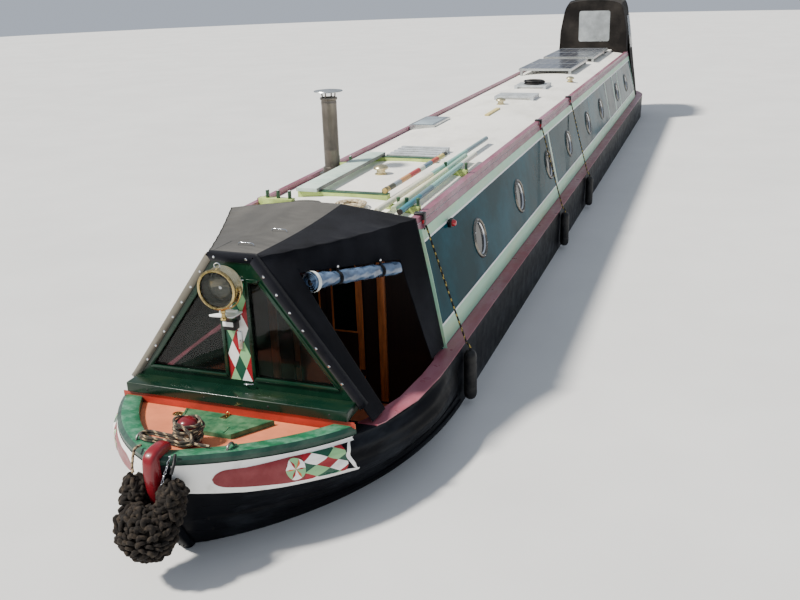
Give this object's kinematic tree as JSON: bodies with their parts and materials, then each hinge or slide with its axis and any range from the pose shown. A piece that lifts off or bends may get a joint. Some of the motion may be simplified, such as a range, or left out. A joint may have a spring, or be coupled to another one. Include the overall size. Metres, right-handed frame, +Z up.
{
  "type": "narrowboat",
  "caption": "Traditional steel canal narrowboat with a cratch board and side canopy at the bow, a long panelled cabin and a pram hood over the stern deck.",
  "frame": {"origin": "middle of the underside of the flat bottom, halfway between the stem and the back of the stern", "axes": "+Z up, +Y to the stern, +X to port"},
  "size_m": [2.2435, 18.5243, 3.15],
  "materials": {
    "hull_black": "satin bitumen black",
    "gunwale_maroon": "gloss",
    "stem_red": "gloss",
    "deck_green": "weathered gloss",
    "deck_salmon": "weathered matt",
    "dark_green": "gloss",
    "cabin_teal": "high gloss",
    "roof_cream": "satin",
    "pale_green": "satin",
    "timber": "varnished",
    "brass": "polished, a little dull",
    "steel": "worn",
    "panel_glass": "gloss",
    "canvas": "woven acrylic canvas",
    "clear_curtain": "soft clear sheet, rolled",
    "rubber_black": "satin",
    "rope_dark": "weathered rope",
    "rope_pale": "laid rope",
    "lamp_red": "gloss",
    "lamp_green": "gloss"
  },
  "bodies": {
    "hull": {"hull_shell": "hull_black", "base_plate": "hull_black", "gunwale": "gunwale_maroon", "stem_post": "stem_red", "bow_rim": "deck_green", "fore_deck": "deck_salmon", "bow_stud": "stem_red", "cratch_sill": "dark_green", "cratch_board": "dark_green", "headlamp": "brass", "horn": "steel", "well_deck": "deck_salmon", "front_bulkhead": "timber", "cabin_side_port": "cabin_teal", "cabin_side_starboard": "cabin_teal", "cabin_roof": "roof_cream", "handrail_port": "gunwale_maroon", "handrail_starboard": "gunwale_maroon", "cabin_floor": "timber", "aft_bulkhead": "cabin_teal", "chimney": "hull_black", "roof_vent_1": "brass", "roof_vent_2": "brass", "roof_vent_3": "brass", "poles_and_racks": "pale_green", "gang_plank": "pale_green", "slat_board_front": "steel", "slat_board_middle": "steel", "slat_board_rear": "steel", "roof_glass_hatch": "panel_glass", "solar_panel_front": "panel_glass", "solar_panel_rear": "panel_glass", "nav_lamp_port": "lamp_red", "nav_lamp_starboard": "lamp_green", "stern_deck": "hull_black", "stern_stud_port": "hull_black", "stern_stud_starboard": "hull_black", "engine_block": "steel", "taff_rail": "steel", "cratch_canopy": "canvas", "curtain_roll": "clear_curtain", "pram_hood": "canvas", "bow_fender": "rope_dark", "side_fender_1": "rubber_black", "side_fender_2": "rubber_black", "side_fender_3": "rubber_black", "fender_rope_1": "rope_pale", "fender_rope_2": "rope_pale", "fender_rope_3": "rope_pale", "bow_rope": "rope_dark", "roof_rope": "rope_pale"},
    "front door port": {"front_door_port": "timber"},
    "front door starboard": {"front_door_starboard": "timber"},
    "rear door port": {"rear_door_port": "cabin_teal"},
    "rear door starboard": {"rear_door_starboard": "cabin_teal"},
    "locker lid": {"locker_lid": "deck_green"},
    "slide hatch": {"slide_hatch": "roof_cream"},
    "propeller": {"propeller": "brass"},
    "rudder": {"rudder": "hull_black"}
  },
  "joints": [
    {"name": "front_door_port_hinge", "type": "hinge", "parent": "hull", "child": "front door port", "pos_m": [0.311, -6.8573, 1.25], "axis": [0, 0, 1], "range_deg": [0, 100]},
    {"name": "front_door_starboard_hinge", "type": "hinge", "parent": "hull", "child": "front door starboard", "pos_m": [-0.311, -6.8573, 1.25], "axis": [0, 0, -1], "range_deg": [0, 100]},
    {"name": "rear_door_port_hinge", "type": "hinge", "parent": "hull", "child": "rear door port", "pos_m": [0.311, 7.4573, 1.45], "axis": [0, 0, -1], "range_deg": [0, 100]},
    {"name": "rear_door_starboard_hinge", "type": "hinge", "parent": "hull", "child": "rear door starboard", "pos_m": [-0.311, 7.4573, 1.45], "axis": [0, 0, 1], "range_deg": [0, 100]},
    {"name": "locker_lid_hinge", "type": "hinge", "parent": "hull", "child": "locker lid", "pos_m": [0, -8.65, 1.206], "axis": [1, 0, 0], "range_deg": [0, 75]},
    {"name": "slide_hatch_runners", "type": "slide", "parent": "hull", "child": "slide hatch", "axis": [0, -1, 0], "range_m": [0, 0.45]},
    {"name": "propeller_shaft", "type": "hinge", "parent": "hull", "child": "propeller", "pos_m": [0, 8.47, 0.3], "axis": [0, 1, 0], "continuous": true},
    {"name": "rudder_stock", "type": "hinge", "parent": "hull", "child": "rudder", "pos_m": [0, 8.76, 0.9], "axis": [0, 0, 1], "range_deg": [-35, 35]}
  ]
}
